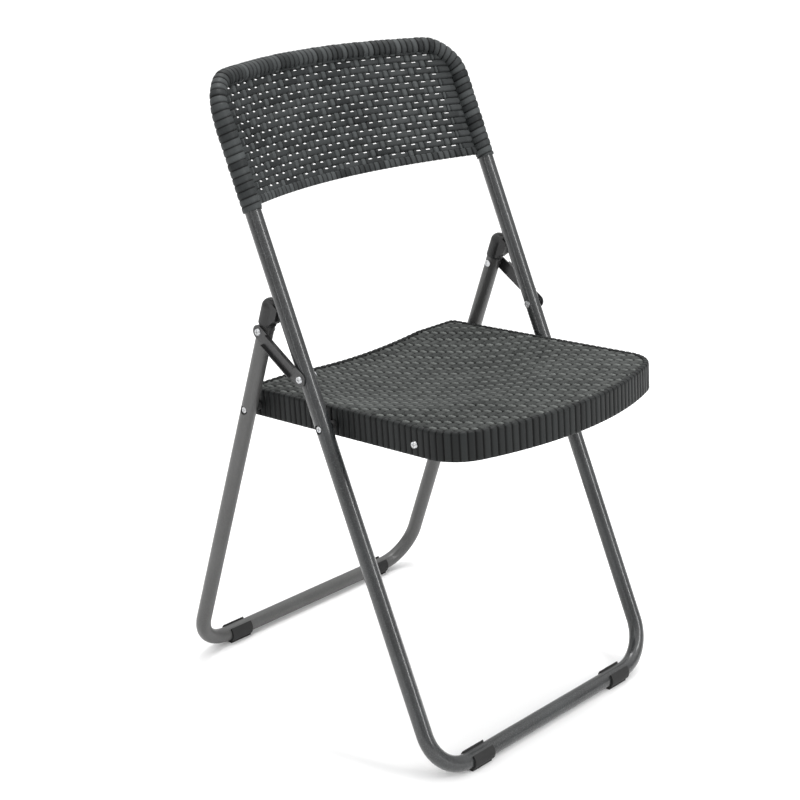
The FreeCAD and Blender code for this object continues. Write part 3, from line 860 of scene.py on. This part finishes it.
    def make_band(self) -> bpy.types.Object:
        """Lower band: a flat oval carried along the arched lower edge, with short upright ribs.

        Returns:
            The band, closed at both ends.
        """
        count, around = 900, 16
        reach = self.bow_radius * math.asin((self.tube_half_spacing - self.band_inset) / self.bow_radius)
        arc = np.linspace(-reach, reach, count)
        x = self.bow_radius * np.sin(arc / self.bow_radius)
        height = self.lower_side + self.band_height / 2.0 + self.lower_rise * self.arch(x)
        line = np.stack([x, self.bow_depth(x), height], axis=-1)
        rib = np.floor(arc / self.wrap_pitch_top)
        pinch = np.abs(2.0 * (arc / self.wrap_pitch_top - rib) - 1.0) ** 4
        angle = np.arange(around) * TWO_PI / around
        shrink = self.band_rib_depth * pinch[:, None]
        wide = np.sign(np.cos(angle)) * np.sqrt(np.abs(np.cos(angle)))
        tall = np.sign(np.sin(angle)) * np.sqrt(np.abs(np.sin(angle)))
        across = (self.band_half_thickness - shrink) * wide
        upward = (self.band_height / 2.0 - shrink) * tall
        up = np.array([0.0, 0.0, 1.0])
        points = line[:, None, :] + self.outward(x)[:, None, :] * across[..., None]
        points = points + up * upward[..., None]
        everything = np.concatenate([points.reshape(-1, 3), line[:1], line[-1:]])
        last = count * around
        faces = [
            grid_quads(count, around, close_columns=True),
            fan(0, around, last, True), fan(last - around, around, last + 1, False)]
        # Painted shade: the relief attribute falls in the pinches between the ribs, and the material darkens
        # them there.
        relief = np.concatenate([np.repeat(1.0 - pinch, around), [0.5, 0.5]])
        tone = np.concatenate([np.repeat(scatter(rib), around), [0.5, 0.5]])
        return make_piece("backrest_band", self.plane.place(everything), faces, {
            "relief": relief, "tone": tone})

    def build(self) -> list[bpy.types.Object]:
        """Make and dress the backrest's pieces.

        Returns:
            The panel, the roll and the band.
        """
        pieces = [self.make_panel(), self.make_roll(), self.make_band()]
        for piece in pieces:
            dress(piece, self.material, Body.FRONT_FRAME)
        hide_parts("backrest_panel")
        return pieces


# ---- Seat -------------------------------------------------------------------------------

@dataclass
class Seat:
    """Dished woven seat with a ribbed skirt all round."""

    plane: TiltedPlane
    material: bpy.types.Material
    # The skirt's darker copy of the strands paints shade on the seat's side wall.
    shaded_skirt_material: bpy.types.Material
    half_width: float
    front_reach: float = 0.256
    rear_reach: float = 0.171
    skirt_below: float = 0.015
    top: float = 0.0235
    bow_radius: float = 0.450
    front_corner: float = 0.060
    rear_corner: float = 0.010
    dish_radius: float = 1.100
    dish_depth: float = 0.016
    dish_centre: float = 0.030
    wall: float = 0.004
    top_wall: float = 0.0022
    weave_drop: float = 0.0021
    edge_tuck: float = 0.0004
    edge_shade: float = 0.4
    lip: float = 0.0075
    edge_round: float = 0.0038
    rib_pitch: float = 0.0102
    rib_depth: float = 0.0017
    weave: Weave = field(default_factory=lambda: Weave(
        0.00675, 0.0115, 0.0058, 4, height=0.0016, row_fill=0.93, edge_drop=1.5, dip_start=0.0,
        dip_end=0.0040, crossing_lift=1.3, strand_tone=0.25))

    def height_at(self, x: np.ndarray, y: np.ndarray) -> np.ndarray:
        """Top of the seat: flat, with a hollow cut by a large sphere.

        Args:
            x: places across the seat.
            y: places along it.

        Returns:
            Heights in the seat's plane.
        """
        away = np.hypot(x, y - self.dish_centre)
        hollow = self.top - self.dish_depth + away ** 2 / (2.0 * self.dish_radius)
        return np.minimum(self.top, hollow)

    def outline(self, count: int) -> tuple[np.ndarray, np.ndarray]:
        """Outer edge seen from above, evenly spaced, anticlockwise from the rear middle.

        The front is an arc about a point on the middle plane, the sides and the rear are
        straight, and a circle rounds each corner where it touches both of its neighbours.

        Args:
            count: number of points.

        Returns:
            Points (x, y) and the unit normals that point out of the seat.
        """
        centre_y = self.bow_radius - self.front_reach
        inner = self.bow_radius - self.front_corner
        corner_x = self.half_width - self.front_corner
        corner_y = centre_y - math.sqrt(inner ** 2 - corner_x ** 2)
        meet = math.atan2(corner_y - centre_y, corner_x)
        rear_x, rear_y = self.half_width - self.rear_corner, self.rear_reach - self.rear_corner
        turn_rear = np.linspace(math.pi / 2.0, 0.0, 24)
        turn_front = np.linspace(0.0, meet, 60)
        sweep = np.linspace(meet, -math.pi / 2.0, 240)
        right = np.concatenate([
            [(0.0, self.rear_reach)],
            np.stack([rear_x + self.rear_corner * np.cos(turn_rear),
                      rear_y + self.rear_corner * np.sin(turn_rear)], axis=-1),
            np.stack([corner_x + self.front_corner * np.cos(turn_front),
                      corner_y + self.front_corner * np.sin(turn_front)], axis=-1),
            np.stack([self.bow_radius * np.cos(sweep), centre_y + self.bow_radius * np.sin(sweep)], axis=-1)])
        loop = np.concatenate([right, right[::-1] * (-1.0, 1.0)])
        step = np.hypot(*np.diff(loop, axis=0).T)
        length = np.concatenate([[0.0], np.cumsum(step)])
        even = np.arange(count) * length[-1] / count
        points = np.stack([np.interp(even, length, loop[:, 0]), np.interp(even, length, loop[:, 1])], axis=-1)
        tangent = np.roll(points, -1, axis=0) - np.roll(points, 1, axis=0)
        tangent /= np.linalg.norm(tangent, axis=1, keepdims=True)
        return points, np.stack([-tangent[:, 1], tangent[:, 0]], axis=-1)

    def inset_of(self, x: np.ndarray, y: np.ndarray) -> np.ndarray:
        """Distance inside the outer edge: the least of those to the arc, sides, rear and corners.

        Args:
            x: places across the seat.
            y: places along it.

        Returns:
            Distances, below 0 outside the edge.
        """
        side = np.abs(x)
        centre_y = self.bow_radius - self.front_reach
        inset = np.minimum(self.half_width - side, self.rear_reach - y)
        inset = np.minimum(inset, self.bow_radius - np.hypot(x, y - centre_y))
        inner = self.bow_radius - self.front_corner
        corner_x = self.half_width - self.front_corner
        corner_y = centre_y - math.sqrt(inner ** 2 - corner_x ** 2)
        slope = (centre_y - corner_y) / corner_x
        in_corner = (side > corner_x) & (y < corner_y) & (y > centre_y - side * slope)
        round_corner = self.front_corner - np.hypot(side - corner_x, y - corner_y)
        return np.where(in_corner, np.minimum(inset, round_corner), inset)

    def make_top(self) -> bpy.types.Object:
        """Woven top on a grid of a few cells for each strand, which dips under the skirt's lip at its edge.

        Returns:
            The top, given its thickness by Solidify.
        """
        per_column, per_row = 4, 5
        step = self.weave.column_pitch / per_column
        x_line = np.arange(-int(self.half_width / step), int(self.half_width / step) + 1) * step
        y_line = np.arange(-self.front_reach, self.rear_reach, self.weave.row_pitch / per_row)
        x, y = np.meshgrid(x_line, y_line)
        inset = self.inset_of(x, y)
        lift, tone = self.weave.relief(x, y, np.zeros_like(x))
        shown = smooth_step(inset, self.lip - 0.002, self.lip + 0.003)
        height = self.height_at(x, y) - self.weave_drop - self.edge_tuck * (1.0 - shown) + lift * shown
        points = np.stack([x, y, height], axis=-1).reshape(-1, 3)
        quads = grid_quads(*x.shape)
        quads = quads[inset.ravel()[quads].min(axis=1) > self.wall]
        used, order = np.unique(quads, return_inverse=True)
        shade = self.weave.shade(lift) * shown + self.edge_shade * (1.0 - shown)
        top = make_piece("seat_weave", self.plane.place(points[used]), [order.reshape(-1, 4)], {
            "relief": shade.ravel()[used], "tone": tone.ravel()[used]})
        wall = top.modifiers.new("wall", "SOLIDIFY")
        wall.thickness = self.top_wall
        wall.offset = -1.0
        return top

    def make_skirt(self) -> bpy.types.Object:
        """Skirt: a hooked wall carried round the outline, with ribs that wrap over its edge.

        The outer wall and the lip are pinched between the ribs with the fourth power of
        the distance from a rib's middle.

        Returns:
            The skirt, a closed ring.
        """
        count = 1900
        edge, normal = self.outline(count)
        perimeter = np.hypot(*(np.roll(edge, -1, axis=0) - edge).T)
        ribs = round(perimeter.sum() / self.rib_pitch)
        place = np.concatenate([[0.0], np.cumsum(perimeter)[:-1]]) / perimeter.sum() * ribs
        rib = np.floor(place)
        pinch = np.abs(2.0 * (place - rib) - 1.0) ** 4
        bend = np.linspace(0.0, math.pi / 2.0, 6)
        r = self.edge_round
        inset = np.concatenate([[self.wall, 0.0008, 0.0], np.zeros(7), r - r * np.cos(bend), [
            0.0050, 0.0063, self.lip, self.lip, self.wall + 0.001, self.wall]])
        from_top = np.concatenate([
            np.full(10, np.nan), r - r * np.sin(bend), [0.0, 0.0002, 0.0009, 0.0036, 0.0040, 0.0060]])
        grooved = np.concatenate([[0.0, 0.4], np.ones(14), [1.0, 0.9, 0.2], np.zeros(3)])
        here = edge[:, None, :] - normal[:, None, :] * inset[None, :, None]
        ceiling = self.height_at(edge[:, 0], edge[:, 1])
        lower = -self.skirt_below + np.array([0.0, 0.0, 0.0008])
        climb = np.linspace(0.12, 0.95, 7)
        side_z = -self.skirt_below + (ceiling[:, None] - r + self.skirt_below) * climb[None, :]
        top_z = self.height_at(here[:, 10:, 0], here[:, 10:, 1]) - from_top[None, 10:]
        z = np.concatenate([np.tile(lower, (count, 1)), side_z, top_z], axis=1)
        cut = self.rib_depth * pinch[:, None] * grooved[None, :]
        on_top = smooth_step(inset, 0.0, r)
        here = here - normal[:, None, :] * (cut * (1.0 - on_top))[..., None]
        z = z - cut * on_top
        points = np.concatenate([here, z[..., None]], axis=-1).reshape(-1, 3)
        columns = len(inset)
        # Painted shade: the relief attribute falls in the grooves between the ribs, and the material darkens
        # them there; it is 0.5 where there are no ribs.
        relief = (1.0 - pinch)[:, None] * grooved[None, :] + 0.5 * (1.0 - grooved[None, :])
        tone = np.repeat(scatter(rib), columns)
        faces = [grid_quads(count, columns, close_rows=True, close_columns=True)]
        return make_piece("seat_skirt", self.plane.place(points), faces, {"relief": relief, "tone": tone})

    def build(self) -> list[bpy.types.Object]:
        """Make and dress the seat's pieces.

        Returns:
            The woven top and the skirt.
        """
        pieces = [self.make_top(), self.make_skirt()]
        for piece, material in zip(pieces, (self.material, self.shaded_skirt_material)):
            dress(piece, material, Body.SEAT)
        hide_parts("seat_panel")
        return pieces


def dress(piece: bpy.types.Object, material: bpy.types.Material, body: Body) -> None:
    """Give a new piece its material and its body.

    Args:
        piece: the new piece.
        material: what it is made of.
        body: what it rides on.
    """
    piece.data.materials.append(material)
    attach(piece, body.value)


# ---- Carried-over pieces ----------------------------------------------------------------

def finish_hardware() -> int:
    """Give every node that still shows the finish of its slot.

    Returns:
        The number of nodes that were finished.
    """
    made = {name: finish.material() for name, finish in SLOT_FINISHES.items()}
    count = 0
    for part in frame["record"]["subparts"]:
        material = made.get(part["material_slot"])
        if material is None:
            continue
        node = frame["nodes"][part["node"]]
        if not node.material_slots:
            node.data.materials.append(material)
        for slot in node.material_slots:
            slot.material = material
        count += 1
    return count


# ---- Stage ------------------------------------------------------------------------------

@dataclass(frozen=True)
class Lamp:
    """A soft rectangular light: its place, its width and height, and its power in watts."""

    name: str
    place: tuple[float, float, float]
    size: tuple[float, float]
    power: float

    def build(self, target: Vector) -> None:
        """Hang the light, aimed at a point.

        Args:
            target: the point it shines on.
        """
        data = bpy.data.lights.new(self.name, "AREA")
        data.shape = "RECTANGLE"
        data.size, data.size_y = self.size
        data.energy = self.power
        light = bpy.data.objects.new(self.name, data)
        light.location = self.place
        light.rotation_euler = (target - Vector(self.place)).to_track_quat("-Z", "Y").to_euler()
        bpy.context.scene.collection.objects.link(light)


LAMPS = (
    Lamp("overhead", (0.3, 0.2, 2.6), (0.9, 0.9), 26.0),
    Lamp("strip", (0.65, -2.8, 1.75), (0.4, 2.6), 46.0),
    Lamp("side_strip", (-2.9, -0.6, 1.6), (0.12, 2.2), 8.0))


@dataclass
class Studio:
    """Pale floor, soft lights and the camera."""

    target: Vector = field(default_factory=lambda: Vector((0.0006, 0.0612, 0.4005)))
    azimuth: float = math.radians(-45.52)
    elevation: float = math.radians(20.89)
    distance: float = 2.3641
    lens: float = 75.09
    sky: tuple[float, float] = (0.25, 1.75)
    sensor: float = 36.0
    floor_half: float = 60.0

    def make_floor(self) -> None:
        """Large flat floor, a little below white."""
        reach = self.floor_half
        points = np.array([
            (-reach, -reach, 0.0), (reach, -reach, 0.0), (reach, reach, 0.0), (-reach, reach, 0.0)])
        floor = make_piece("studio_floor", points, [np.array([[0, 1, 2, 3]])], {})
        bench = Bench.for_material("studio_floor")
        cloud = bench.noise(0.6, 2.0)
        floor.data.materials.append(bench.surface({
            "Base Color": bench.blend(cloud, (0.93, 0.93, 0.93), (0.96, 0.96, 0.96)), "Roughness": 0.9}))

    def make_sky(self) -> None:
        """A plain white surround that brightens upwards."""
        world = bpy.data.worlds.new("studio")
        world.use_nodes = True
        sky = Bench(world.node_tree)
        coordinates = sky.node("ShaderNodeTexCoord")
        height = sky.node("ShaderNodeSeparateXYZ", {}, {0: coordinates.outputs["Generated"]})
        low, high = self.sky
        glow = sky.node("ShaderNodeMapRange", {}, {
            "Value": height.outputs["Z"], "To Min": low, "To Max": high})
        shade = sky.node("ShaderNodeBackground", {}, {
            "Color": (1.0, 1.0, 1.0, 1.0), "Strength": glow.outputs["Result"]})
        sky.node("ShaderNodeOutputWorld", {}, {"Surface": shade.outputs["Background"]})
        bpy.context.scene.world = world
        bpy.context.scene.view_settings.view_transform = "Standard"

    def make_camera(self) -> None:
        """Camera on its own sphere about the target."""
        flat = math.cos(self.elevation)
        away = Vector((
            math.sin(self.azimuth) * flat, -math.cos(self.azimuth) * flat, math.sin(self.elevation)))
        data = bpy.data.cameras.new("camera")
        data.lens = self.lens
        data.sensor_width = self.sensor
        camera = bpy.data.objects.new("camera", data)
        camera.location = self.target + away * self.distance
        camera.rotation_euler = (-away).to_track_quat("-Z", "Y").to_euler()
        bpy.context.scene.collection.objects.link(camera)
        bpy.context.scene.camera = camera

    def build(self) -> None:
        """Set the stage."""
        self.make_floor()
        self.make_sky()
        for lamp in LAMPS:
            lamp.build(self.target)
        self.make_camera()


def main() -> None:
    """Build the stage and every piece, sized from the boxes of the tube and the seat."""
    logging.basicConfig(level=logging.INFO, format="%(message)s")
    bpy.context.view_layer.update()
    Studio().build()
    LOG.info("finished %d carried-over nodes", finish_hardware())
    strands = STRANDS.material()
    _, tube_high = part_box("front_frame_tube")
    _, seat_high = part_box("seat_panel")
    for part in (
            Backrest(front_plane(), strands, tube_high[0] - TUBE_RADIUS),
            Seat(seat_plane(), SEAT_STRANDS.material(), SHADED_SKIRT_STRANDS.material(), seat_high[0])):
        for piece in part.build():
            LOG.info("%s: %d points", piece.name, len(piece.data.vertices))


if __name__ == "__main__":
    main()
